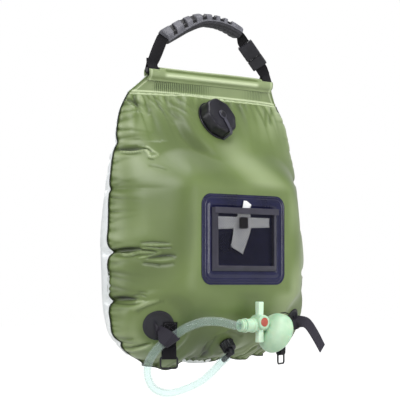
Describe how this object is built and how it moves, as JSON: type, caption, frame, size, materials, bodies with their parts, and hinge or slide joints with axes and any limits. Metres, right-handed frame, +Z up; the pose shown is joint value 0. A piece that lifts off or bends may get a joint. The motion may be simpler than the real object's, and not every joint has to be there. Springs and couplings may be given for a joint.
{
  "type": "camp shower bag",
  "caption": "Hanging water bag with a carry handle, screw fill cap, net pocket, tie-down rings, outlet hose and a shower head with a push gate.",
  "frame": {"origin": "on the middle line of the grip, above the middle of the bag, where a hand or a hook carries it", "axes": "+Z up along the hanging line; the front with the cap, pocket and outlet faces -Y; +X to the right seen from the front"},
  "size_m": [0.4013, 0.2691, 0.6313],
  "materials": {
    "black_webbing": "woven",
    "grey_rubber": "matte",
    "dark_rubber": "matte",
    "black_plastic": "satin",
    "green_film": "satin",
    "rod_plastic": "matte",
    "silver_film": "satin",
    "seal_rubber": "matte",
    "clear_hose": "clear, glossy",
    "mint_plastic": "satin",
    "red_plastic": "satin",
    "navy_vinyl": "glossy",
    "black_net": "woven",
    "pale_cloth": "woven"
  },
  "bodies": {
    "handle": {"handle_webbing": "black_webbing", "anchor_webbing": "black_webbing", "grip_cover": "grey_rubber", "grip_pad": "dark_rubber", "buckle_socket": "black_plastic", "buckle_plug": "black_plastic"},
    "prong_left": {"buckle_prong_left": "black_plastic"},
    "prong_right": {"buckle_prong_right": "black_plastic"},
    "bag": {"hem_sleeve": "green_film", "hem_rod": "rod_plastic", "front_panel": "green_film", "back_panel": "silver_film", "fill_flange": "black_plastic", "fill_gasket": "seal_rubber", "cap_tether_strap": "black_plastic", "outlet_spigot": "black_plastic", "outlet_gasket": "seal_rubber", "outlet_nut": "black_plastic", "outlet_elbow": "black_plastic", "hose": "clear_hose", "head_collar": "mint_plastic", "head_body": "mint_plastic", "head_plug": "red_plastic", "gate_seal_in": "seal_rubber", "gate_seal_out": "seal_rubber", "head_rose": "mint_plastic", "rose_gasket": "seal_rubber", "rose_face": "mint_plastic", "pocket_patch": "navy_vinyl", "pocket_frame": "black_webbing", "pocket_mouth_tape": "black_webbing", "pocket_net": "black_net", "pocket_closure": "black_webbing", "pocket_strip": "pale_cloth", "pocket_tag": "pale_cloth", "left_patch": "black_webbing", "right_patch": "black_webbing", "left_strap": "black_webbing", "left_tab": "black_webbing", "right_tab": "black_webbing"},
    "cap_carrier": {"cap_tether_ring": "black_plastic"},
    "cap": {"fill_cap": "black_plastic", "cap_button": "black_plastic"},
    "gate": {"head_gate": "mint_plastic"},
    "left_ring_body": {"left_ring": "black_plastic"},
    "right_ring_body": {"right_ring": "black_plastic"},
    "right_strap_body": {"right_strap": "black_webbing"}
  },
  "joints": [
    {"name": "handle_swing", "type": "hinge", "parent": "handle", "child": "bag", "pos_m": [0, 0, -0.0911], "axis": [1, 0, 0], "range_deg": [-60, 60]},
    {"name": "prong_left_squeeze", "type": "hinge", "parent": "handle", "child": "prong_left", "pos_m": [0.10016, -0.0063, -0.04561], "axis": [-0.4604, -0.766, -0.4486], "range_deg": [0, 7], "stiffness_Nm_per_rad": 0.02},
    {"name": "prong_right_squeeze", "type": "hinge", "parent": "handle", "child": "prong_right", "pos_m": [0.08941, 0.0063, -0.05608], "axis": [0.4604, 0.766, 0.4486], "range_deg": [0, 7], "stiffness_Nm_per_rad": 0.02},
    {"name": "cap_lift", "type": "slide", "parent": "bag", "child": "cap_carrier", "axis": [0.1496, -0.8864, 0.4381], "range_m": [0, 0.0176], "deforming": ["cap_tether_strap"]},
    {"name": "cap_turn", "type": "hinge", "parent": "cap_carrier", "child": "cap", "pos_m": [-0.01781, -0.03224, -0.17023], "axis": [0.1496, -0.8864, 0.4381], "range_deg": [0, 1260]},
    {"name": "head_gate_slide", "type": "slide", "parent": "bag", "child": "gate", "axis": [0, 0, -1], "range_m": [0, 0.007]},
    {"name": "left_ring_swing", "type": "hinge", "parent": "bag", "child": "left_ring_body", "pos_m": [-0.1166, -0.04238, -0.55276], "axis": [0.8874, -0.4611, 0], "range_deg": [-80, 40]},
    {"name": "right_ring_swing", "type": "hinge", "parent": "bag", "child": "right_ring_body", "pos_m": [0.1166, -0.04238, -0.55276], "axis": [0.8874, 0.4611, 0], "range_deg": [-80, 40]},
    {"name": "right_strap_flap", "type": "hinge", "parent": "bag", "child": "right_strap_body", "pos_m": [0.13847, -0.04434, -0.5035], "axis": [0.1144, -0.3332, 0.9359], "range_deg": [-40, 0], "stiffness_Nm_per_rad": 0.05}
  ],
  "couplings": [
    {"joint": "cap_lift", "follows": "cap_turn", "m_per_rad": 0.00079577},
    {"joint": "prong_right_squeeze", "follows": "prong_left_squeeze", "ratio": 1}
  ]
}
